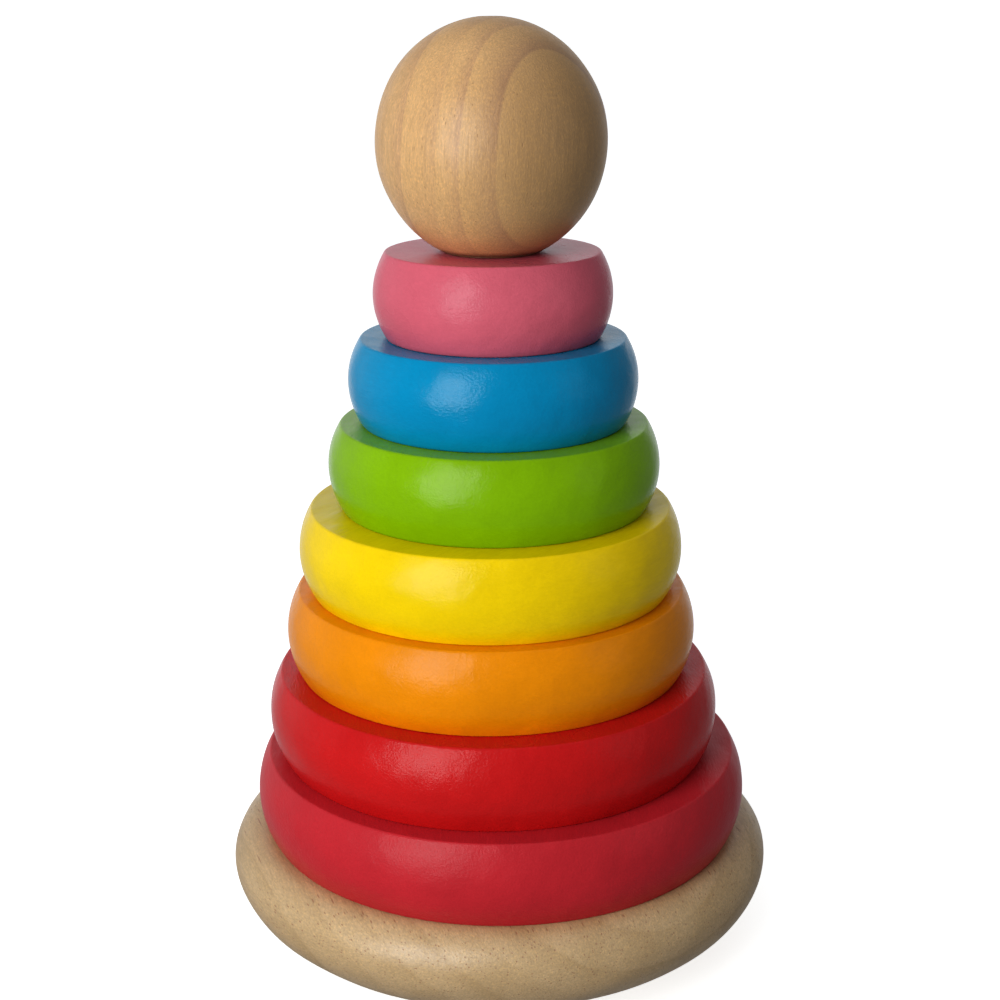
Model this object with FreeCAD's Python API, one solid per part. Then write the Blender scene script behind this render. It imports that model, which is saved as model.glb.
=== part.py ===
import FreeCAD, Part
import math
import os

# A wooden stacking ring toy, in millimetres.  The origin is the centre of the underside, where the
# base stands, and +Z points up the peg.  A turned base holds a peg, which is glued into a socket and
# drawn down by one screw from below.  Seven loose rings and a ball drop over the peg and rest flat
# on each other.

# Base: flat top, rounded upper edge, bowl-shaped underside with a flat foot.
BASE_RADIUS = 63.0
BASE_HEIGHT = 28.5
BASE_EDGE_ROUND = 7.9
BASE_FOOT_RADIUS = 23.2

# Peg: a dowel with a rounded tip, glued into the base.
PEG_RADIUS = 6.5
PEG_SOCKET_DEPTH = 16.0
PEG_IN_BALL = 24.0
PEG_TIP_ROUND = 3.0
PEG_FOOT_CHAMFER = 0.6

# Rings: flat faces, a side that swells in one arc, and a bore much wider than the peg.
RING_HEIGHT = 19.0
RING_SWELL = 2.8
RING_EDGE_ROUND = 0.8
RING_BORE_RADIUS = 9.0
RING_BORE_CHAMFER = 0.8

# Each ring from the bottom up: node name, largest radius, and how far the loose ring has slid
# sideways on the peg (x, y).
RINGS = [
    ("crimson_ring", 56.7, (0.3, -1.8)),
    ("red_ring", 51.7, (-1.4, -1.3)),
    ("orange_ring", 46.7, (-1.9, -0.4)),
    ("yellow_ring", 43.4, (-1.9, -0.3)),
    ("green_ring", 37.3, (-1.0, 0.6)),
    ("blue_ring", 32.4, (-1.1, 1.6)),
    ("pink_ring", 26.5, (-1.1, 1.7)),
]

# Ball: slightly taller than wide, cut flat where it stands and at the turned pole.
BALL_RADIUS = 25.0
BALL_HALF_HEIGHT = 25.9
BALL_CENTRE_HEIGHT = 23.6
BALL_POLE_RADIUS = 2.5
BALL_BORE_RADIUS = 8.5
BALL_BORE_DEPTH = 28.0
BALL_BORE_CHAMFER = 0.6
BALL_SHIFT = (-1.3, 0.0)
DRILL_POINT_ANGLE = 118.0

# Countersunk wood screw, from the foot of the base up into the peg.
SCREW_LENGTH = 32.0
SCREW_HEAD_RADIUS = 4.0
SCREW_RADIUS = 2.0
SCREW_CORE_RADIUS = 1.4
SCREW_HEAD_SINK = 0.5
SCREW_HEAD_RIM = 0.4
SCREW_PITCH = 1.8
SCREW_POINT_LENGTH = 4.0
SCREW_RECESS_SPAN = 4.4
SCREW_RECESS_WIDTH = 1.0
SCREW_RECESS_DEPTH = 1.6
SCREW_HOLE_RADIUS = 2.2
PILOT_DEPTH = 22.0

STACK_HEIGHT = RING_HEIGHT * len(RINGS)
PEG_FOOT_Z = BASE_HEIGHT - PEG_SOCKET_DEPTH
PEG_TIP_Z = BASE_HEIGHT + STACK_HEIGHT + PEG_IN_BALL
UP = FreeCAD.Vector(0, 0, 1)


def at(radius, height):
    """A point of a profile, which lies in the XZ plane."""
    return FreeCAD.Vector(radius, 0, height)


def outline(points):
    """Straight edges through the points, one after the other."""
    return [Part.makeLine(start, end) for start, end in zip(points, points[1:])]


def turned(edges):
    """A solid of revolution about Z from a closed profile, its edges in order."""
    return Part.Face(Part.Wire(edges)).revolve(at(0, 0), UP, 360)


def circles(solid, radius, height):
    """The round edges of a solid with this radius at this height."""
    return [
        edge
        for edge in solid.Edges
        if isinstance(edge.Curve, Part.Circle)
        and math.isclose(edge.Curve.Radius, radius, abs_tol=1e-4)
        and math.isclose(edge.Curve.Center.z, height, abs_tol=1e-4)
    ]


def make_base():
    widest_z = BASE_HEIGHT - BASE_EDGE_ROUND
    top_radius = BASE_RADIUS - BASE_EDGE_ROUND
    diagonal = BASE_EDGE_ROUND * math.sqrt(0.5)
    edge_round = Part.Arc(
        at(BASE_RADIUS, widest_z),
        at(top_radius + diagonal, widest_z + diagonal),
        at(top_radius, BASE_HEIGHT),
    )
    bowl = Part.Ellipse(at(BASE_RADIUS, widest_z), at(BASE_FOOT_RADIUS, 0), at(BASE_FOOT_RADIUS, widest_z))
    sink_radius = SCREW_HEAD_RADIUS + SCREW_HEAD_RIM
    head_depth = SCREW_HEAD_SINK + SCREW_HEAD_RIM
    neck_z = head_depth + sink_radius - SCREW_HOLE_RADIUS
    bore = outline([
        at(top_radius, BASE_HEIGHT),
        at(PEG_RADIUS, BASE_HEIGHT),
        at(PEG_RADIUS, PEG_FOOT_Z),
        at(SCREW_HOLE_RADIUS, PEG_FOOT_Z),
        at(SCREW_HOLE_RADIUS, neck_z),
        at(sink_radius, head_depth),
        at(sink_radius, 0),
        at(BASE_FOOT_RADIUS, 0),
    ])
    return turned([edge_round.toShape()] + bore + [Part.ArcOfEllipse(bowl, 0, math.pi / 2).toShape()])


def make_peg():
    peg = Part.makeCylinder(PEG_RADIUS, PEG_TIP_Z - PEG_FOOT_Z, at(0, PEG_FOOT_Z))
    peg = peg.makeFillet(PEG_TIP_ROUND, circles(peg, PEG_RADIUS, PEG_TIP_Z))
    peg = peg.makeChamfer(PEG_FOOT_CHAMFER, circles(peg, PEG_RADIUS, PEG_FOOT_Z))
    return peg.cut(Part.makeCylinder(SCREW_CORE_RADIUS, PILOT_DEPTH, at(0, PEG_FOOT_Z)))


def make_screw():
    head_z = SCREW_HEAD_SINK
    cone_z = head_z + SCREW_HEAD_RIM
    shank_z = cone_z + SCREW_HEAD_RADIUS - SCREW_RADIUS
    tip_z = head_z + SCREW_LENGTH
    point_z = tip_z - SCREW_POINT_LENGTH
    points = [
        at(0, head_z),
        at(SCREW_HEAD_RADIUS, head_z),
        at(SCREW_HEAD_RADIUS, cone_z),
        at(SCREW_RADIUS, shank_z),
        at(SCREW_RADIUS, PEG_FOOT_Z),
    ]
    turns = int((point_z - PEG_FOOT_Z) / SCREW_PITCH)
    for turn in range(turns):
        root_z = PEG_FOOT_Z + turn * SCREW_PITCH
        points.append(at(SCREW_CORE_RADIUS, root_z + SCREW_PITCH * 0.3))
        points.append(at(SCREW_CORE_RADIUS, root_z + SCREW_PITCH * 0.7))
        points.append(at(SCREW_RADIUS, root_z + SCREW_PITCH))
    points += [at(SCREW_CORE_RADIUS, point_z), at(0, tip_z), at(0, head_z)]
    screw = turned(outline(points))
    for span_x, span_y in [
        (SCREW_RECESS_SPAN, SCREW_RECESS_WIDTH),
        (SCREW_RECESS_WIDTH, SCREW_RECESS_SPAN),
    ]:
        corner = FreeCAD.Vector(-span_x / 2, -span_y / 2, head_z)
        screw = screw.cut(Part.makeBox(span_x, span_y, SCREW_RECESS_DEPTH, corner))
    return screw


def make_ring(largest_radius):
    """One ring: its side is an arc, blended into the flat faces by small rounds."""
    middle = RING_HEIGHT / 2
    side_radius = (middle**2 + RING_SWELL**2) / (2 * RING_SWELL)
    side_centre = largest_radius - side_radius
    round_z = middle - RING_EDGE_ROUND
    round_centre = side_centre + math.sqrt((side_radius - RING_EDGE_ROUND) ** 2 - round_z**2)
    blend = math.asin(round_z / (side_radius - RING_EDGE_ROUND))
    halfway = (blend + math.pi / 2) / 2
    upper = [
        at(side_centre + side_radius * math.cos(blend), middle + side_radius * math.sin(blend)),
        at(
            round_centre + RING_EDGE_ROUND * math.cos(halfway),
            middle + round_z + RING_EDGE_ROUND * math.sin(halfway),
        ),
        at(round_centre, RING_HEIGHT),
    ]
    lower = [at(point.x, RING_HEIGHT - point.z) for point in upper]
    bore_edge = RING_BORE_RADIUS + RING_BORE_CHAMFER
    side = Part.Arc(lower[0], at(largest_radius, middle), upper[0])
    bore = outline([
        upper[2],
        at(bore_edge, RING_HEIGHT),
        at(RING_BORE_RADIUS, RING_HEIGHT - RING_BORE_CHAMFER),
        at(RING_BORE_RADIUS, RING_BORE_CHAMFER),
        at(bore_edge, 0),
        lower[2],
    ])
    return turned([side.toShape(), Part.Arc(*upper).toShape()] + bore + [Part.Arc(*lower).toShape()])


def make_ball():
    top = at(0, BALL_CENTRE_HEIGHT + BALL_HALF_HEIGHT)
    surface = Part.Ellipse(top, at(BALL_RADIUS, BALL_CENTRE_HEIGHT), at(0, BALL_CENTRE_HEIGHT))
    pole_angle = math.asin(BALL_POLE_RADIUS / BALL_RADIUS)
    foot_angle = math.acos(-BALL_CENTRE_HEIGHT / BALL_HALF_HEIGHT)
    side = Part.ArcOfEllipse(surface, pole_angle, foot_angle)
    drill_point = BALL_BORE_RADIUS / math.tan(math.radians(DRILL_POINT_ANGLE / 2))
    rest = outline([
        side.EndPoint,
        at(BALL_BORE_RADIUS + BALL_BORE_CHAMFER, 0),
        at(BALL_BORE_RADIUS, BALL_BORE_CHAMFER),
        at(BALL_BORE_RADIUS, BALL_BORE_DEPTH),
        at(0, BALL_BORE_DEPTH + drill_point),
        at(0, side.StartPoint.z),
        side.StartPoint,
    ])
    return turned([side.toShape()] + rest)


def placed(solid, shift, height):
    """The solid moved sideways by shift and up by height."""
    return solid.translated(FreeCAD.Vector(shift[0], shift[1], height))


def make_parts():
    parts = {"base": make_base(), "peg": make_peg(), "peg_screw": make_screw()}
    for level, (name, largest_radius, shift) in enumerate(RINGS):
        parts[name] = placed(make_ring(largest_radius), shift, BASE_HEIGHT + level * RING_HEIGHT)
    parts["ball"] = placed(make_ball(), BALL_SHIFT, BASE_HEIGHT + STACK_HEIGHT)
    return parts


os.makedirs("parts", exist_ok=True)
for name, solid in make_parts().items():
    box = solid.optimalBoundingBox()
    print(f"{name}: volume {solid.Volume / 1000:.2f} cm3, z {box.ZMin:.1f} to {box.ZMax:.1f}, "
          f"valid {solid.isValid()}, {len(solid.Solids)} solid")
    solid.exportStep(f"parts/{name}.step")
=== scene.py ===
import math

import bpy
import numpy as np
from mathutils import Matrix, Vector


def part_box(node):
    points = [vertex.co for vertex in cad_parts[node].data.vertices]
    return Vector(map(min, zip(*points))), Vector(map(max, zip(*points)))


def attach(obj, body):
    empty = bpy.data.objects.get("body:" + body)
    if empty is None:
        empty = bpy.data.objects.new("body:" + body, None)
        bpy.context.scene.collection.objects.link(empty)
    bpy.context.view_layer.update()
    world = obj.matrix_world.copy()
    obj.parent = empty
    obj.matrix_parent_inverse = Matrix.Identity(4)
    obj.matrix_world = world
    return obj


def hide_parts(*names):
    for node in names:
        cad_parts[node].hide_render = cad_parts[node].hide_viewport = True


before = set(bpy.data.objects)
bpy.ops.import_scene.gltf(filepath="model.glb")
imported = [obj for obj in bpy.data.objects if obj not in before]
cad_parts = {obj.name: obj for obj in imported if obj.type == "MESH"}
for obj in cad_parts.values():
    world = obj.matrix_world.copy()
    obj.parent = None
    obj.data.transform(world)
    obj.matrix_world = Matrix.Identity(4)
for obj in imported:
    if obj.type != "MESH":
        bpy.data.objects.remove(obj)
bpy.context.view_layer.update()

# A wooden stacking ring toy.  Everything is in metres, in the frame of the CAD part: the origin is
# the centre of the underside, +Z runs up the peg, and -Y is the front.
MM = 0.001

# Rings
RING_SWELL = 2.8 * MM
RING_EDGE_ROUND = 0.8 * MM
RING_BORE_RADIUS = 9.0 * MM
RING_BORE_ROUND = 0.8 * MM

# Base
BASE_EDGE_ROUND = 7.9 * MM
BASE_FOOT_RADIUS = 23.2 * MM
SOCKET_ROUND = 0.5 * MM
SCREW_HOLE_RADIUS = 2.2 * MM
COUNTERSINK_RADIUS = 4.4 * MM
COUNTERSINK_DEPTH = 0.9 * MM

# Ball
BALL_RADIUS = 25.0 * MM
BALL_HALF_HEIGHT = 25.9 * MM
BALL_CENTRE_HEIGHT = 23.6 * MM
BALL_POLE_RADIUS = 2.5 * MM
BALL_BORE_RADIUS = 8.5 * MM
BALL_BORE_DEPTH = 28.0 * MM
BALL_DRILL_POINT = 5.1 * MM
BALL_SOFT_EDGE = 0.3 * MM
BALL_FOOT_ROUND = 1.6 * MM

# Peg
PEG_TIP_ROUND = 3.0 * MM
PEG_FOOT_CHAMFER = 0.6 * MM
PILOT_RADIUS = 1.4 * MM
PILOT_DEPTH = 22.0 * MM

# Screw
SCREW_RADIUS = 2.0 * MM
SCREW_CORE_RADIUS = 1.4 * MM
SCREW_PITCH = 1.8 * MM
SCREW_HEAD_RIM = 0.4 * MM
SCREW_POINT_LENGTH = 4.0 * MM
SCREW_RECESS_RADIUS = 2.2 * MM
SCREW_RECESS_WIDTH = 1.0 * MM
SCREW_RECESS_DEPTH = 1.6 * MM
SCREW_ROWS_PER_TURN = 14
SCREW_FLANK = 0.32
SCREW_RUN_OUT = 2 * MM
SCREW_SEGMENTS = 72

# Points around a turned piece
SEGMENTS = 320
PEG_SEGMENTS = 160

# Unevenness of the turned sides: the number of waves and the range of their lengths, and for each
# wooden piece a depth and the seed of its waves
UNEVEN_WAVES = 7
UNEVEN_LENGTHS = (11 * MM, 34 * MM)
BASE_UNEVENNESS = (0.12 * MM, 21)
BALL_UNEVENNESS = (0.05 * MM, 22)
PEG_UNEVENNESS = (0.03 * MM, 23)

# Paint: dust nibs lie in a share of the cells of a grid with this spacing
GLOSS_IOR = 1.5
LACQUER_SPECULAR = 0.2
NIB_SPACING = 3.1 * MM
NIB_SHARE = 0.07

# Wood: how far the growth lines wander and how sharp they are, the spacing of the curl's ripples,
# the tint of the painted glint on the bright flecks and of the painted sheen on the curl's ripples, and
# that of the growth lines
GROWTH_WANDER = 2.4 * MM
GROWTH_EDGE = 0.3 * MM
RIPPLE_SPACING = 1.05 * MM
PAINTED_GLINT_TINT = (1.35, 1.3, 1.1)
LINE_SHADE = (0.86, 0.84, 0.84)

# Rings: how far their sides are uneven, how far their grain turns from front to back, in radians,
# and where in the wood each ring is cut from
RING_SEED = 4
RING_UNEVENNESS = 0.05 * MM
GRAIN_TURN = 0.6
CUT_FROM = (0.3, 1.0)

# The rings from the bottom up, and each one's paint: its colour and how rough its satin is
LACQUERS = {
    "crimson_ring": ((0.53, 0.026, 0.037), 0.36),
    "red_ring": ((0.56, 0.013, 0.014), 0.25),
    "orange_ring": ((0.815, 0.275, 0.001), 0.25),
    "yellow_ring": ((0.88, 0.63, 0.001), 0.23),
    "green_ring": ((0.235, 0.46, 0.001), 0.21),
    "blue_ring": ((0.0005, 0.265, 0.495), 0.19),
    "pink_ring": ((0.655, 0.135, 0.185), 0.28),
}

# The woods' tones: the pale and the dark colour, the tint of the growth bands, the pores' colour
BASE_TONES = [(0.595, 0.43, 0.25), (0.52, 0.365, 0.20), (0.80, 0.76, 0.68), (0.33, 0.17, 0.09)]
BALL_TONES = [(0.72, 0.45, 0.215), (0.62, 0.38, 0.178), (0.74, 0.70, 0.84), (0.34, 0.19, 0.08)]
PEG_TONES = [(0.62, 0.44, 0.26), (0.52, 0.35, 0.20), (0.80, 0.76, 0.70), (0.28, 0.15, 0.07)]

# Growth lines: their radius around the pith and their strength, from the pith outwards
BASE_LINES = [((38 + 7.5 * year) * MM, 1.0 if year % 3 else 0.7) for year in range(14)]
PEG_LINES = [((16 + 3.2 * year) * MM, 1.0) for year in range(10)]
BALL_LINES = [
    (29.9 * MM, 1.0),
    (37.7 * MM, 0.85),
    (43.0 * MM, 0.6),
    (51.3 * MM, 0.9),
    (57.0 * MM, 0.5),
    (63.5 * MM, 0.8),
    (69.0 * MM, 0.6),
]

# A nick in the yellow ring's top edge and a bare speck on the green ring's side
NICK_BEARING = 17.0
NICK_SHARE = 0.985
NICK_REACH = (2.6 * MM, 1.6 * MM, 1.1 * MM)
NICK_DEPTH = 0.4 * MM
SPECK_BEARING = 54.0
SPECK_HEIGHT = 4.8 * MM
SPECK_RADII = (0.3 * MM, 0.6 * MM)
SPECK_COLOUR = (0.75, 0.72, 0.62)

# Studio
FLOOR_RADIUS = 8.0
FLOOR_SIDES = 96
FLOOR_GLOW = 0.6
LIGHT_TARGET = 0.10
ROOM_LEVEL = 0.23
ROOM_TINT = (0.93, 0.96, 1.0)
# Where the room is brighter: a direction, the cosines from which and up to which the glow grows,
# and its strength.  They are behind the toy, behind it to the left, and overhead.
ROOM_GLOWS = [
    ((0.0, 1.0, 0.0), 0.72, 0.97, 0.5),
    ((-0.77, 0.64, 0.0), 0.62, 0.95, 0.15),
    ((0.0, 0.0, 1.0), 0.70, 1.0, 0.3),
]

# The windows: name, bearing in degrees from the front to the right, height, distance, size,
# radiance, and how far the panel leans in its own plane, in degrees
WINDOWS = [
    ("left_window", -32, 0.26, 0.57, (0.31, 0.50), 5.7, -12),
    ("left_wall", -105, 0.28, 0.80, (0.8, 0.7), 0.2, 0),
    ("right_window", 66, 0.30, 0.75, (0.3, 0.5), 0.35, 0),
]

# Camera: the height and the tilt at which the toy is seen
CAMERA_PLACE = (0.3 * MM, -388.5 * MM, 221.8 * MM)
CAMERA_PITCH = math.radians(16.74)
CAMERA_ROLL = -0.0033
CAMERA_LENS = 64.45
CAMERA_SENSOR = 36.0


# ---------------------------------------------------------------- profiles

def curve(centre, radii, start, end, steps):
    """Points (radius, height) of an elliptical arc, its angles in degrees from +radius towards +Z."""
    angles = np.radians(np.linspace(start, end, steps + 1))
    return [(centre[0] + radii[0] * math.cos(a), centre[1] + radii[1] * math.sin(a)) for a in angles]


def run(start, end, steps=1, support=0.2 * MM):
    """Points of a straight run, with one close to each end, so that smooth shading leaves it flat."""
    length = math.dist(start, end)
    near = min(support / length, 0.3)
    shares = [0.0, *np.linspace(near, 1 - near, steps + 1), 1.0]
    return [tuple(a + (b - a) * share for a, b in zip(start, end)) for share in shares]


def profile(*pieces):
    """One profile from its pieces, without the points that two pieces share."""
    points = []
    for point in (point for piece in pieces for point in piece):
        if not points or math.dist(points[-1], point) > 1e-7:
            points.append(point)
    return points


def ring_profile(radius, height):
    """The closed outline of a ring: a side that swells in one arc between two flat faces."""
    middle = height / 2
    side = (middle**2 + RING_SWELL**2) / (2 * RING_SWELL)
    centre = radius - side
    lift = middle - RING_EDGE_ROUND
    corner = centre + math.sqrt((side - RING_EDGE_ROUND) ** 2 - lift**2)
    blend = math.degrees(math.asin(lift / (side - RING_EDGE_ROUND)))
    edge = (RING_EDGE_ROUND, RING_EDGE_ROUND)
    bore_edge = (RING_BORE_ROUND, RING_BORE_ROUND)
    inner = RING_BORE_RADIUS + RING_BORE_ROUND
    top = height - RING_BORE_ROUND
    return profile(
        run((inner, 0), (corner, 0), 12),
        curve((corner, RING_EDGE_ROUND), edge, -90, -blend, 8),
        curve((centre, middle), (side, side), -blend, blend, 40),
        curve((corner, height - RING_EDGE_ROUND), edge, blend, 90, 8),
        run((corner, height), (inner, height), 12),
        curve((inner, top), bore_edge, 90, 180, 6),
        run((RING_BORE_RADIUS, top), (RING_BORE_RADIUS, RING_BORE_ROUND), 8),
        curve((inner, RING_BORE_ROUND), bore_edge, 180, 270, 6)[:-1],
    )


def base_profile(radius, height, socket_radius, socket_floor):
    """The closed outline of the base: foot, bowl, rounded edge, flat top, socket and screw hole."""
    widest = height - BASE_EDGE_ROUND
    top_radius = radius - BASE_EDGE_ROUND
    cone_top = COUNTERSINK_DEPTH + COUNTERSINK_RADIUS - SCREW_HOLE_RADIUS
    mouth = socket_radius + SOCKET_ROUND
    return profile(
        run((COUNTERSINK_RADIUS, 0), (BASE_FOOT_RADIUS, 0), 6),
        curve((BASE_FOOT_RADIUS, widest), (radius - BASE_FOOT_RADIUS, widest), -90, 0, 48),
        curve((top_radius, widest), (BASE_EDGE_ROUND, BASE_EDGE_ROUND), 0, 90, 24),
        run((top_radius, height), (mouth, height), 14),
        curve((mouth, height - SOCKET_ROUND), (SOCKET_ROUND, SOCKET_ROUND), 90, 180, 4),
        run((socket_radius, height - SOCKET_ROUND), (socket_radius, socket_floor), 4),
        run((socket_radius, socket_floor), (SCREW_HOLE_RADIUS, socket_floor), 2),
        run((SCREW_HOLE_RADIUS, socket_floor), (SCREW_HOLE_RADIUS, cone_top), 4),
        run((SCREW_HOLE_RADIUS, cone_top), (COUNTERSINK_RADIUS, COUNTERSINK_DEPTH), 2),
        run((COUNTERSINK_RADIUS, COUNTERSINK_DEPTH), (COUNTERSINK_RADIUS, 0), 1)[:-1],
    )


def ball_profile():
    """From the pole down the side, across the foot and up the blind bore, back to the axis."""
    pole = math.degrees(math.acos(BALL_POLE_RADIUS / BALL_RADIUS))
    # The side ends where a small arc carries it on to the flat foot without a kink.
    ends = np.radians(np.linspace(-85, -40, 451))
    normals = np.arctan2(np.sin(ends) / BALL_HALF_HEIGHT, np.cos(ends) / BALL_RADIUS)
    heights = BALL_CENTRE_HEIGHT + BALL_HALF_HEIGHT * np.sin(ends)
    best = np.argmin(np.abs(heights - BALL_FOOT_ROUND * (1 + np.sin(normals))))
    centre = (0, BALL_CENTRE_HEIGHT)
    side = curve(centre, (BALL_RADIUS, BALL_HALF_HEIGHT), pole, math.degrees(ends[best]), 110)
    foot = side[-1][0] - BALL_FOOT_ROUND * math.cos(normals[best])
    round_foot = (BALL_FOOT_ROUND, BALL_FOOT_ROUND)
    crown = BALL_BORE_DEPTH + BALL_DRILL_POINT
    bore = BALL_BORE_RADIUS
    mouth = bore + BALL_SOFT_EDGE
    return profile(
        run((0, side[0][1]), side[0], 2),
        side,
        curve((foot, BALL_FOOT_ROUND), round_foot, math.degrees(normals[best]), -90, 8),
        run((foot, 0), (mouth, 0), 2),
        curve((mouth, BALL_SOFT_EDGE), (BALL_SOFT_EDGE, BALL_SOFT_EDGE), 270, 180, 4),
        run((bore, BALL_SOFT_EDGE), (bore, BALL_BORE_DEPTH), 12),
        run((bore, BALL_BORE_DEPTH), (0, crown), 4),
    )


def peg_profile(radius, foot, tip):
    """From the tip down the side and across the foot, up the pilot hole, back to the axis."""
    chamfer = radius - PEG_FOOT_CHAMFER
    crown = (radius - PEG_TIP_ROUND, tip - PEG_TIP_ROUND)
    return profile(
        run((0, tip), (crown[0], tip), 3),
        curve(crown, (PEG_TIP_ROUND, PEG_TIP_ROUND), 90, 0, 16),
        run((radius, crown[1]), (radius, foot + PEG_FOOT_CHAMFER), 60),
        run((radius, foot + PEG_FOOT_CHAMFER), (chamfer, foot)),
        run((chamfer, foot), (PILOT_RADIUS, foot), 2),
        run((PILOT_RADIUS, foot), (PILOT_RADIUS, foot + PILOT_DEPTH), 4),
        run((PILOT_RADIUS, foot + PILOT_DEPTH), (0, foot + PILOT_DEPTH)),
    )


# ---------------------------------------------------------------- meshes

def mesh_object(name, points, faces):
    mesh = bpy.data.meshes.new(name)
    mesh.from_pydata(points, [], faces)
    mesh.shade_smooth()
    made = bpy.data.objects.new(name, mesh)
    bpy.context.scene.collection.objects.link(made)
    return made


def is_clockwise(outline):
    """Whether an outline of (radius, height) points runs clockwise."""
    points = np.array(outline)
    after = np.roll(points, -1, axis=0)
    return float(np.sum(points[:, 0] * after[:, 1] - after[:, 0] * points[:, 1])) < 0


def turned(name, outline, centre, closed, segments=SEGMENTS):
    """A turned solid about a vertical axis.  An open outline starts and ends on the axis."""
    if is_clockwise(outline):
        outline = outline[::-1]
    turns = np.arange(segments) * 2 * math.pi / segments
    body = np.array(outline if closed else outline[1:-1])
    radii, heights = body[:, :1], body[:, 1:]
    grid = np.stack([radii * np.cos(turns), radii * np.sin(turns), heights + 0 * turns], axis=-1)
    points = grid.reshape(-1, 3)
    index = np.arange(len(points)).reshape(len(body), segments)
    here, there = (index, np.roll(index, -1, axis=0)) if closed else (index[:-1], index[1:])
    corners = [here, np.roll(here, -1, axis=1), np.roll(there, -1, axis=1), there]
    faces = np.stack(corners, axis=-1).reshape(-1, 4).tolist()
    if not closed:
        first, last = len(points), len(points) + 1
        points = np.vstack([points, (0, 0, outline[0][1]), (0, 0, outline[-1][1])])
        faces += [(first, int(index[0][i]), int(index[0][i - 1])) for i in range(segments)]
        faces += [(last, int(index[-1][i - 1]), int(index[-1][i])) for i in range(segments)]
    return mesh_object(name, points + np.array(centre), faces)


def vertex_array(made, what):
    """The places ("co") or the normals ("normal") of a piece's vertices, one row each."""
    values = np.zeros(3 * len(made.data.vertices), dtype=np.float32)
    made.data.vertices.foreach_get(what, values)
    return values.reshape(-1, 3).astype(float)


def move_vertices(made, places):
    made.data.vertices.foreach_set("co", places.astype(np.float32).ravel())
    made.data.update()


def uneven(made, depth, seed):
    """Makes the sides slightly uneven, as a lathe and hand sanding leave them.  Points only move
    inwards, by up to a few times depth, and flat faces that look up or down stay flat."""
    random = np.random.default_rng(seed)
    places = vertex_array(made, "co")
    normals = vertex_array(made, "normal")
    push = np.zeros(len(places))
    for _ in range(UNEVEN_WAVES):
        direction = random.normal(size=3)
        wave = 2 * math.pi / random.uniform(*UNEVEN_LENGTHS)
        direction *= wave / np.linalg.norm(direction)
        push += np.sin(places @ direction + random.uniform(0, 2 * math.pi))
    weight = 1 - normals[:, 2] ** 4
    push -= push.max()
    move_vertices(made, places + normals * (push * weight * depth / 3)[:, None])


def dented(made, place, radii, depth):
    """Presses a small dent into the mesh: place is its centre, radii its reach along X, Y and Z."""
    places = vertex_array(made, "co")
    reach = np.linalg.norm((places - np.array(place)) / np.array(radii), axis=1)
    fall = np.clip(1 - reach, 0, 1) ** 0.7
    move_vertices(made, places - vertex_array(made, "normal") * (depth * fall)[:, None])


# ---------------------------------------------------------------- materials

class Graph:
    """Builds the nodes of one material, or of the world."""

    def __init__(self, owner):
        owner.use_nodes = True
        self.owner = owner
        self.tree = owner.node_tree
        self.tree.nodes.clear()
        self.place = self.node("TexCoord").outputs["Object"]

    def node(self, kind, inputs=None, **settings):
        made = self.tree.nodes.new("ShaderNode" + kind)
        for key, value in settings.items():
            setattr(made, key, value)
        for key, value in (inputs or {}).items():
            self.feed(made.inputs[key], value)
        return made

    def feed(self, socket, value):
        if isinstance(value, bpy.types.NodeSocket):
            self.tree.links.new(value, socket)
        else:
            socket.default_value = value

    def math(self, operation, a, b=0.0):
        return self.node("Math", {0: a, 1: b}, operation=operation).outputs[0]

    def vector_math(self, operation, a, b=(0.0, 0.0, 0.0), output=0):
        return self.node("VectorMath", {0: a, 1: b}, operation=operation).outputs[output]

    def mix(self, share, a, b):
        """a where share is 0 and b where it is 1."""
        return self.node("Mix", {0: share, 6: a, 7: b}, data_type="RGBA").outputs[2]

    def tinted(self, colour, tint):
        """colour with its three channels multiplied by tint."""
        return self.vector_math("MULTIPLY", colour, tint)

    def ramp(self, value, low, high, to_low=0.0, to_high=1.0):
        """value carried from low..high to to_low..to_high with soft ends."""
        inputs = {0: value, 1: low, 2: high, 3: to_low, 4: to_high}
        return self.node("MapRange", inputs, interpolation_type="SMOOTHSTEP").outputs[0]

    def noise(self, place, sizes, detail=2.0, roughness=0.5):
        """Noise whose patches have the three sizes along the three axes of place."""
        inputs = {"Vector": self.stretched(place, sizes), "Scale": 1.0}
        inputs.update({"Detail": detail, "Roughness": roughness})
        return self.node("TexNoise", inputs).outputs[0]

    def stretched(self, place, sizes):
        """place divided by three sizes, so that a texture of scale 1 has patches of those sizes."""
        scale = tuple(1 / size for size in sizes)
        return self.node("Mapping", {"Vector": place, "Scale": scale}).outputs[0]

    def turned_to(self, place, direction, origin):
        """place seen from a frame whose Z runs along direction and whose own origin is given."""
        angles = Vector(direction).to_track_quat("Z", "Y").to_euler()
        inputs = {"Vector": place, "Location": origin, "Rotation": tuple(angles)}
        return self.node("Mapping", inputs, vector_type="TEXTURE").outputs[0]

    def bump(self, height, distance, normal=None):
        inputs = {"Height": height, "Distance": distance, "Strength": 1.0}
        if normal is not None:
            inputs["Normal"] = normal
        return self.node("Bump", inputs).outputs[0]

    def finish(self, colour, roughness, normal, **constants):
        inputs = {"Base Color": colour, "Roughness": roughness, "Normal": normal}
        shader = self.node("BsdfPrincipled", inputs)
        for key, value in constants.items():
            shader.inputs[key.replace("_", " ")].default_value = value
        self.tree.links.new(shader.outputs[0], self.node("OutputMaterial").inputs[0])
        return self.owner


def rgb(red, green, blue):
    return (red, green, blue, 1.0)


def scaled(colour, factor):
    return rgb(*(channel * factor for channel in colour))


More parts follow.
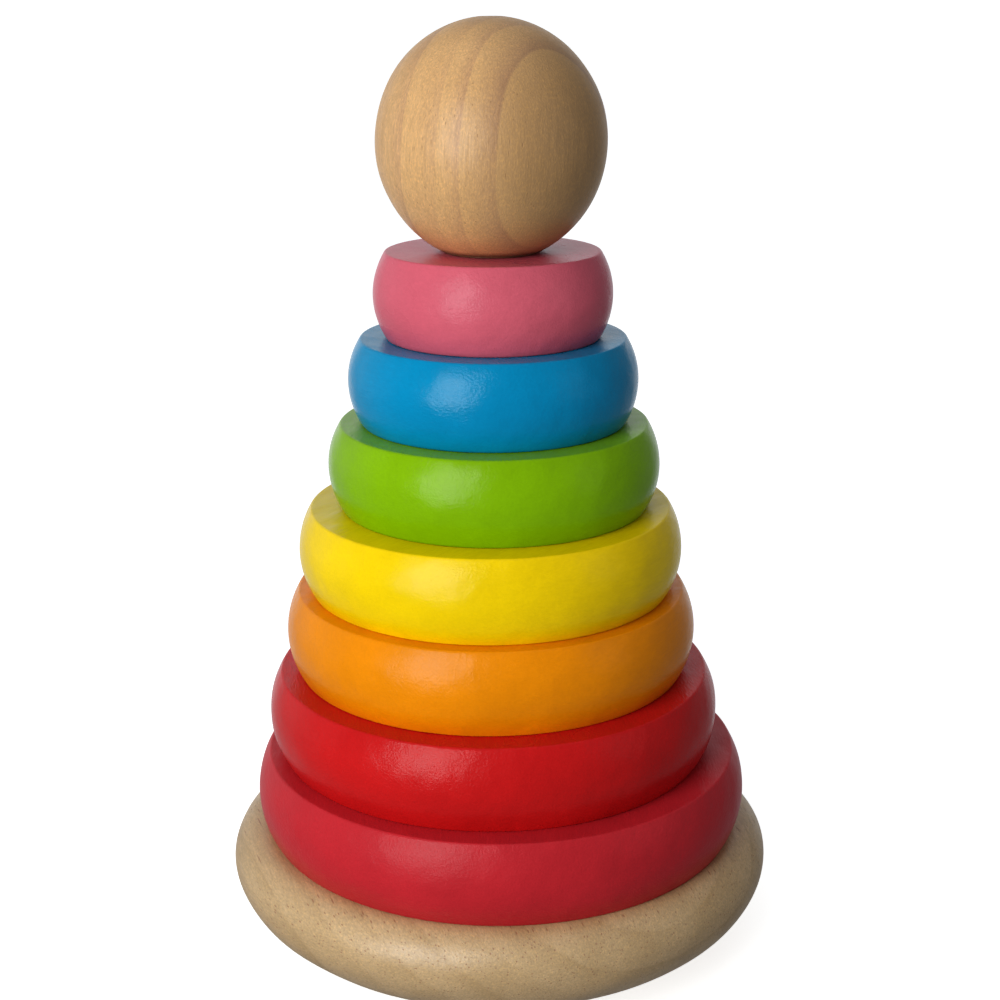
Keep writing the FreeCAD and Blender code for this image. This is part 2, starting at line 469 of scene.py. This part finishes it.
def lacquer(name, colour, roughness, grain, origin, speck=None):
    """Satin-gloss paint on a turned ring.  The wood's grain shows through it as a fine texture: specks
    where the ring's side cuts across the grain, and streaks where it runs along it."""
    graph = Graph(bpy.data.materials.new(name))
    place = graph.turned_to(graph.place, grain, origin)
    mottle = graph.noise(place, (13 * MM, 13 * MM, 22 * MM), detail=3)
    streak = graph.noise(place, (0.75 * MM, 0.75 * MM, 7 * MM), detail=3)
    fine = graph.noise(place, (0.45 * MM, 0.45 * MM, 2.2 * MM), detail=2, roughness=0.6)
    wave = graph.noise(place, (5 * MM, 5 * MM, 9 * MM), detail=1)
    tone = graph.mix(graph.ramp(mottle, 0.1, 0.9), scaled(colour, 0.9), scaled(colour, 1.08))
    tone = graph.mix(graph.ramp(streak, 0.2, 0.9, 0.0, 0.22), tone, scaled(colour, 0.72))
    tone = graph.mix(graph.ramp(fine, 0.2, 0.9, 0.0, 0.2), tone, scaled(colour, 0.7))
    dust = graph.node("TexVoronoi", {"Vector": place, "Scale": 1 / NIB_SPACING}).outputs
    draw = graph.node("SeparateColor", {0: dust["Color"]}).outputs[0]
    picked = graph.math("GREATER_THAN", draw, 1 - NIB_SHARE)
    nib = graph.math("MULTIPLY", graph.ramp(dust["Distance"], 0.03, 0.09, 1.0, 0.0), picked)
    if speck:
        away = graph.vector_math("DISTANCE", graph.place, speck, "Value")
        bare = graph.ramp(away, *SPECK_RADII, 0.7, 0.0)
        tone = graph.mix(bare, tone, rgb(*SPECK_COLOUR))
    relief = [(wave, 0.26 * MM), (streak, 0.035 * MM), (fine, 0.07 * MM), (nib, 0.03 * MM)]
    normal = None
    for height, distance in relief:
        normal = graph.bump(height, distance, normal)
    rough = graph.ramp(mottle, 0.1, 0.9, roughness - 0.03, roughness + 0.04)
    return graph.finish(tone, rough, normal, IOR=GLOSS_IOR, Specular_IOR_Level=LACQUER_SPECULAR)


def growth(graph, place, lines):
    """Two values: one that jumps up at each growth line and fades to 0 as the radius from the pith grows
    to the next line, and one that falls from 1 inside the first line to 0 a third of its radius beyond
    it.  Each line is its radius and its strength."""
    wander = graph.noise(place, (15 * MM, 15 * MM, 50 * MM), detail=1)
    wander = graph.math("MULTIPLY", graph.math("SUBTRACT", wander, 0.5), GROWTH_WANDER)
    across = graph.vector_math("MULTIPLY", place, (1, 1, 0))
    radius = graph.vector_math("LENGTH", across, output="Value")
    reach = lines[-1][0] + GROWTH_WANDER
    share = graph.math("DIVIDE", graph.math("ADD", radius, wander), reach)
    ramp = graph.node("ValToRGB", {0: share})
    stops = ramp.color_ramp.elements
    stops[0].color = stops[1].color = rgb(0, 0, 0)
    for line, strength in lines:
        stops.new((line - GROWTH_EDGE) / reach).color = rgb(0, 0, 0)
        stops.new(line / reach).color = rgb(strength, strength, strength)
    first = lines[0][0] / reach
    return ramp.outputs[0], graph.ramp(share, 0.6 * first, 1.35 * first, 1.0, 0.0)


def pores(graph, place, cell, share, width):
    """Vessels cut open: strokes where the surface runs along the grain, dots where it cuts across."""
    vessel = graph.node("TexVoronoi", {"Vector": graph.stretched(place, cell), "Scale": 1.0}).outputs
    pick = graph.node("SeparateColor", {0: vessel["Color"]}).outputs
    crowd = graph.noise(place, (4 * MM, 4 * MM, 30 * MM), detail=1)
    chosen = graph.math("LESS_THAN", pick[0], graph.ramp(crowd, 0.35, 0.65, 0.5 * share, 1.4 * share))
    reach = graph.ramp(pick[1], 0.0, 1.0, 0.5 * width, width)
    near = graph.ramp(graph.math("DIVIDE", vessel["Distance"], reach), 0.4, 1.0, 1.0, 0.0)
    return graph.math("MULTIPLY", near, chosen)


def wood(
    name, tones, grain, pith, lines, band_depth, vessels, fibre, finish,
    heart_and_shade_depth=0.0, ripple=0.0, painted_foot_shadow=None,
):
    """Solid wood.  Its fibres, pores and growth rings are solid too: they run along grain around the
    pith, and meet the surface as real ones do.

    tones: the pale and the dark colour, the tint of the growth bands, the pores' colour.
    vessels: the size of the cells that can hold a pore, the share of them that do, its width in cells.
    fibre: a fibre's width and length.
    finish: the roughness and the specular level.
    heart_and_shade_depth and ripple: how dark the wood at the pith is, partly heartwood and partly
    painted shade on the side that faces away from the windows, and how strong the curl, whose ripples
    are painted as lighter bands of sheen.
    painted_foot_shadow: the two heights between which the painted shadow at the foot, in the crevice
    where it sits on the ring below, fades out."""
    pale, dark, late, pore = tones
    graph = Graph(bpy.data.materials.new(name))
    place = graph.turned_to(graph.place, grain, pith)
    year, heart_and_shade = growth(graph, place, lines)
    cloud = graph.noise(place, (9 * MM, 9 * MM, 45 * MM), detail=2)
    streak = graph.noise(place, (1.1 * MM, 1.1 * MM, 19 * MM), detail=3)
    thread = graph.noise(place, (fibre[0], fibre[0], fibre[1]), detail=3, roughness=0.65)
    fleck = graph.noise(place, (0.36 * MM, 0.36 * MM, 0.7 * MM), detail=2, roughness=0.6)
    tone = graph.mix(graph.ramp(cloud, 0.2, 0.8), rgb(*pale), rgb(*dark))
    # Painted shade: inside the first growth line the wood is darkened, partly as heartwood and partly to
    # shade the side of the ball that faces away from the windows.
    tone = graph.mix(graph.math("MULTIPLY", heart_and_shade, heart_and_shade_depth), tone, scaled(dark, 0.5))
    tone = graph.mix(graph.ramp(streak, 0.3, 0.8, 0.0, 0.4), tone, scaled(dark, 0.84))
    tone = graph.mix(graph.ramp(thread, 0.3, 0.8, 0.0, 0.6), tone, scaled(dark, 0.66))
    # Painted glint: the bright flecks are lightened as if they caught the light.
    tone = graph.mix(graph.ramp(fleck, 0.4, 0.8, 0.0, 0.75), tone, graph.tinted(tone, PAINTED_GLINT_TINT))
    depth = graph.noise(place, (14 * MM, 14 * MM, 14 * MM), detail=1)
    depth = graph.ramp(depth, 0.25, 0.75, 0.3 * band_depth, band_depth)
    band = graph.math("MULTIPLY", graph.math("POWER", year, 1.8), depth)
    tone = graph.mix(band, tone, graph.tinted(tone, late))
    edge = graph.math("MULTIPLY", graph.math("POWER", year, 30.0), depth)
    tone = graph.mix(edge, tone, graph.tinted(tone, LINE_SHADE))
    dash = pores(graph, place, *vessels)
    tone = graph.mix(graph.math("MULTIPLY", dash, 0.85), tone, rgb(*pore))
    if ripple:
        patch = graph.ramp(graph.noise(place, (5 * MM, 5 * MM, 30 * MM), detail=1), 0.5, 0.7)
        height = graph.node("SeparateXYZ", {0: place}).outputs[2]
        bend = graph.math("MULTIPLY", graph.noise(place, (3 * MM, 3 * MM, 6 * MM)), 9.0)
        turns = graph.math("ADD", graph.math("MULTIPLY", height, 2 * math.pi / RIPPLE_SPACING), bend)
        curl = graph.ramp(graph.math("SINE", turns), -0.6, 1.0, 0.0, ripple)
        # Painted sheen: the curl's ripples are lightened in bands, as curled wood shimmers where light
        # falls on it.
        tone = graph.mix(graph.math("MULTIPLY", patch, curl), tone, graph.tinted(tone, PAINTED_GLINT_TINT))
    # Painted shadow: the lowest millimetres of the foot are darkened to near black, as the crevice on
    # the ring below is shaded.
    if painted_foot_shadow:
        height = graph.node("SeparateXYZ", {0: graph.place}).outputs[2]
        tone = graph.mix(graph.ramp(height, *painted_foot_shadow, 0.8, 0.0), tone, scaled(dark, 0.12))
    normal = graph.bump(thread, 0.06 * MM)
    normal = graph.bump(fleck, 0.04 * MM, normal)
    normal = graph.bump(graph.math("SUBTRACT", 1.0, dash), 0.04 * MM, normal)
    roughness, specular = finish
    rough = graph.ramp(streak, 0.2, 0.9, roughness - 0.05, roughness + 0.07)
    return graph.finish(tone, rough, normal, IOR=GLOSS_IOR, Specular_IOR_Level=specular)


def zinc():
    """Bright zinc plating with a fine drawn texture."""
    graph = Graph(bpy.data.materials.new("zinc_plate"))
    mottle = graph.noise(graph.place, (0.6 * MM, 0.6 * MM, 1.5 * MM), detail=3)
    tone = graph.mix(graph.ramp(mottle, 0.3, 0.7), rgb(0.56, 0.56, 0.55), rgb(0.70, 0.69, 0.66))
    rough = graph.ramp(mottle, 0.3, 0.7, 0.28, 0.45)
    return graph.finish(tone, rough, graph.bump(mottle, 4e-6), Metallic=1.0)


# ---------------------------------------------------------------- pieces

def settle(made, material, node, body):
    """Gives a finished piece its material, and puts it in the place of its CAD node."""
    made.data.materials.append(material)
    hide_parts(node)
    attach(made, body)


def axis_of(node):
    """A node's vertical axis, its radius, and its lowest and highest point."""
    low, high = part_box(node)
    return (low.x + high.x) / 2, (low.y + high.y) / 2, (high.x - low.x) / 2, low.z, high.z


def around(centre, radius, bearing, height):
    """A place around a vertical axis.  Its bearing is in degrees from the front, to the right."""
    turn = math.radians(bearing)
    return (centre[0] + radius * math.sin(turn), centre[1] - radius * math.cos(turn), height)


def make_rings():
    random = np.random.default_rng(RING_SEED)
    for node, (colour, roughness) in LACQUERS.items():
        x, y, radius, low, high = axis_of(node)
        made = turned("lacquered_" + node, ring_profile(radius, high - low), (x, y, low), closed=True)
        uneven(made, RING_UNEVENNESS, int(random.integers(1000)))
        if node == "yellow_ring":
            nick = around((x, y), radius * NICK_SHARE, NICK_BEARING, high)
            dented(made, nick, NICK_REACH, NICK_DEPTH)
        speck = None
        if node == "green_ring":
            speck = around((x, y), radius, SPECK_BEARING, low + SPECK_HEIGHT)
        turn = random.uniform(-GRAIN_TURN, GRAIN_TURN)
        origin = tuple(random.uniform(*CUT_FROM, 3))
        grain = (math.sin(turn), math.cos(turn), 0.0)
        material = lacquer(node + "_lacquer", colour, roughness, grain, origin, speck)
        settle(made, material, node, node)


def make_base():
    x, y, radius, low, high = axis_of("base")
    peg_radius, peg_foot = axis_of("peg")[2:4]
    outline = base_profile(radius, high - low, peg_radius, peg_foot)
    made = turned("turned_base", outline, (x, y, low), closed=True)
    uneven(made, *BASE_UNEVENNESS)
    material = wood(
        "rubberwood",
        tones=BASE_TONES,
        grain=(0.34, -0.94, 0.0),
        pith=(x + 20 * MM, y, high + 42 * MM),
        lines=BASE_LINES,
        band_depth=0.75,
        vessels=((0.68 * MM, 0.68 * MM, 22 * MM), 0.9, 0.32),
        fibre=(0.4 * MM, 3 * MM),
        finish=(0.37, 0.55),
    )
    settle(made, material, "base", "stand")


def make_ball():
    x, y, _, low, _ = axis_of("ball")
    made = turned("turned_ball", ball_profile(), (x, y, low), closed=False)
    uneven(made, *BALL_UNEVENNESS)
    material = wood(
        "polished_hardwood",
        tones=BALL_TONES,
        grain=(0.043, -0.041, 1.0),
        pith=(x + 29.5 * MM, y - 34.5 * MM, low + BALL_CENTRE_HEIGHT),
        lines=BALL_LINES,
        band_depth=1.0,
        vessels=((0.5 * MM, 0.5 * MM, 4 * MM), 0.35, 0.25),
        fibre=(0.4 * MM, 4.5 * MM),
        finish=(0.40, 0.40),
        # darker towards the pith at the right front: partly heartwood, partly painted shade on the side
        # away from the left window
        heart_and_shade_depth=0.95,
        # the curl, painted as lighter bands of sheen
        ripple=0.12,
        # a painted shadow in the crevice where the foot sits on the pink ring
        painted_foot_shadow=(low + 0.3 * MM, low + 1.7 * MM),
    )
    settle(made, material, "ball", "ball")


def make_peg():
    x, y, radius, low, high = axis_of("peg")
    outline = peg_profile(radius, low, high)
    made = turned("dowel_peg", outline, (x, y, 0), closed=False, segments=PEG_SEGMENTS)
    uneven(made, *PEG_UNEVENNESS)
    material = wood(
        "dowel_wood",
        tones=PEG_TONES,
        grain=(0.02, 0.01, 1.0),
        pith=(x + 22 * MM, y - 18 * MM, high / 2),
        lines=PEG_LINES,
        band_depth=0.4,
        vessels=((0.5 * MM, 0.5 * MM, 7 * MM), 0.45, 0.26),
        fibre=(0.35 * MM, 4 * MM),
        finish=(0.46, 0.35),
    )
    settle(made, material, "peg", "stand")


def screw_blank(x, y, low, high, top_radius):
    """The screw before its recess is cut: a flat head on a cone, a plain neck and a helical thread."""
    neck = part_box("peg")[0].z
    rim = low + SCREW_HEAD_RIM
    cone = rim + top_radius - SCREW_RADIUS
    point = high - SCREW_POINT_LENGTH
    rows = [(0.0, low), *run((0.0, low), (top_radius, low), 2, 0.05 * MM)[1:]]
    rows += run((top_radius, low), (top_radius, rim), 1, 0.05 * MM)
    rows += run((top_radius, rim), (SCREW_RADIUS, cone), 2, 0.05 * MM)
    rows += run((SCREW_RADIUS, cone), (SCREW_RADIUS, neck), 2, 0.05 * MM)
    steps = int((high - neck) / (SCREW_PITCH / SCREW_ROWS_PER_TURN))
    for height in np.linspace(neck, high, steps)[1:]:
        taper = min(1.0, (high - height) / (high - point))
        rows.append((max(SCREW_CORE_RADIUS * taper, 0.02 * MM), height))
    outline = profile(rows, [(0.0, high)])
    made = turned("countersunk_screw", outline, (x, y, 0), closed=False, segments=SCREW_SEGMENTS)
    places = vertex_array(made, "co")
    height = places[:, 2]
    outwards = places[:, :2] - np.array([x, y])
    radius = np.linalg.norm(outwards, axis=1)
    phase = (height - neck) / SCREW_PITCH - np.arctan2(outwards[:, 1], outwards[:, 0]) / (2 * math.pi)
    flank = np.clip(1 - np.abs((phase % 1) - 0.5) / SCREW_FLANK, 0, 1)
    # The thread grows over its first turn and runs out before the point.
    start = np.clip((height - neck) / SCREW_PITCH, 0, 1)
    end = np.clip((high - height) / SCREW_RUN_OUT, 0, 1)
    thread = flank * start * end * (SCREW_RADIUS - SCREW_CORE_RADIUS)
    thread = np.where((radius > 0.1 * MM) & (height > neck), thread, 0)
    places[:, :2] += outwards / np.maximum(radius, 1e-9)[:, None] * thread[:, None]
    move_vertices(made, places)
    return made


def cross_cutter(x, y, low):
    """A tapered cross, which leaves the driver's recess in the screw's head."""
    points = []
    for depth, share in ((-0.3 * MM, 1.08), (SCREW_RECESS_DEPTH, 0.45)):
        reach = SCREW_RECESS_RADIUS * share
        half = SCREW_RECESS_WIDTH / 2 * (0.5 + share / 2)
        for quarter in range(4):
            cos, sin = ((1, 0), (0, 1), (-1, 0), (0, -1))[quarter]
            for along, across in ((reach, -half), (reach, half), (half, half)):
                right = along * cos - across * sin
                back = along * sin + across * cos
                points.append((x + right, y + back, low + depth))
    rim = len(points) // 2
    faces = [tuple(reversed(range(rim))), tuple(range(rim, 2 * rim))]
    faces += [(i, (i + 1) % rim, rim + (i + 1) % rim, rim + i) for i in range(rim)]
    return mesh_object("cutter", points, faces)


def make_screw():
    x, y, radius, low, high = axis_of("peg_screw")
    made = screw_blank(x, y, low, high, radius)
    cutter = cross_cutter(x, y, low)
    recess = made.modifiers.new("recess", "BOOLEAN")
    recess.operation = "DIFFERENCE"
    recess.solver = "EXACT"
    recess.object = cutter
    bpy.context.view_layer.update()
    graph = bpy.context.evaluated_depsgraph_get()
    cut = bpy.data.meshes.new_from_object(made.evaluated_get(graph))
    made.modifiers.clear()
    made.data = cut
    bpy.data.objects.remove(cutter)
    made.data.set_sharp_from_angle(angle=math.radians(40))
    settle(made, zinc(), "peg_screw", "stand")


# ---------------------------------------------------------------- studio

def make_floor():
    """A wide, round, nearly white floor.  Its own glow stands for the lamps that wash a studio floor,
    and it lights nothing: the light on the toy comes from the room and the windows."""
    turns = np.arange(FLOOR_SIDES) * 2 * math.pi / FLOOR_SIDES
    points = [(FLOOR_RADIUS * math.cos(turn), FLOOR_RADIUS * math.sin(turn), 0.0) for turn in turns]
    floor = mesh_object("studio_floor", points, [tuple(range(FLOOR_SIDES))])
    for way in ("visible_diffuse", "visible_glossy", "visible_shadow"):
        setattr(floor, way, False)
    graph = Graph(bpy.data.materials.new("studio_paper"))
    fleck = graph.noise(graph.place, (0.2, 0.2, 0.2))
    tone = graph.mix(fleck, rgb(0.84, 0.84, 0.84), rgb(0.87, 0.87, 0.87))
    normal = graph.bump(graph.noise(graph.place, (MM, MM, MM)), 5e-6)
    paper = graph.finish(tone, 0.9, normal, Emission_Color=rgb(1, 1, 1), Emission_Strength=FLOOR_GLOW)
    floor.data.materials.append(paper)


def make_world():
    """The light of a room: an even, dim level, and a few directions in which it is brighter.  Where
    the camera looks past the floor it sees plain white."""
    world = bpy.data.worlds.new("studio")
    bpy.context.scene.world = world
    graph = Graph(world)
    direction = graph.node("TexCoord").outputs["Generated"]
    level = ROOM_LEVEL
    for towards, low, high, strength in ROOM_GLOWS:
        dot = graph.vector_math("DOT_PRODUCT", direction, towards, "Value")
        level = graph.math("ADD", level, graph.ramp(dot, low, high, 0.0, strength))
    room = graph.node("Background", {"Color": rgb(*ROOM_TINT), "Strength": level}).outputs[0]
    white = graph.node("Background", {"Color": rgb(1, 1, 1), "Strength": 1.0}).outputs[0]
    seen = graph.node("LightPath").outputs["Is Camera Ray"]
    both = graph.node("MixShader", {0: seen, 1: room, 2: white}).outputs[0]
    graph.tree.links.new(both, graph.node("OutputWorld").inputs[0])


def make_window(name, bearing, height, distance, size, radiance, lean):
    """A bright panel that faces the toy.  Its bearing is in degrees from the front, to the right."""
    lamp = bpy.data.lights.new(name, "AREA")
    lamp.shape = "RECTANGLE"
    lamp.size, lamp.size_y = size
    lamp.energy = radiance * math.pi * size[0] * size[1]
    made = bpy.data.objects.new(name, lamp)
    place = Vector(around((0, 0), distance, bearing, height))
    aim = (Vector((0, 0, LIGHT_TARGET)) - place).to_track_quat("-Z", "Y")
    made.location = place
    made.rotation_euler = (aim.to_matrix() @ Matrix.Rotation(math.radians(lean), 3, "Z")).to_euler()
    made.visible_camera = False
    bpy.context.scene.collection.objects.link(made)


def make_lights():
    make_world()
    for window in WINDOWS:
        make_window(*window)


def make_camera():
    camera = bpy.data.cameras.new("camera")
    camera.lens = CAMERA_LENS
    camera.sensor_width = CAMERA_SENSOR
    made = bpy.data.objects.new("camera", camera)
    made.location = CAMERA_PLACE
    made.rotation_euler = (math.pi / 2 - CAMERA_PITCH, 0, 0)
    made.rotation_euler.rotate_axis("Z", CAMERA_ROLL)
    bpy.context.scene.collection.objects.link(made)
    bpy.context.scene.camera = made


make_base()
make_peg()
make_screw()
make_rings()
make_ball()
make_floor()
make_lights()
make_camera()
bpy.context.scene.view_settings.view_transform = "Standard"
bpy.context.scene.view_settings.look = "Medium High Contrast"
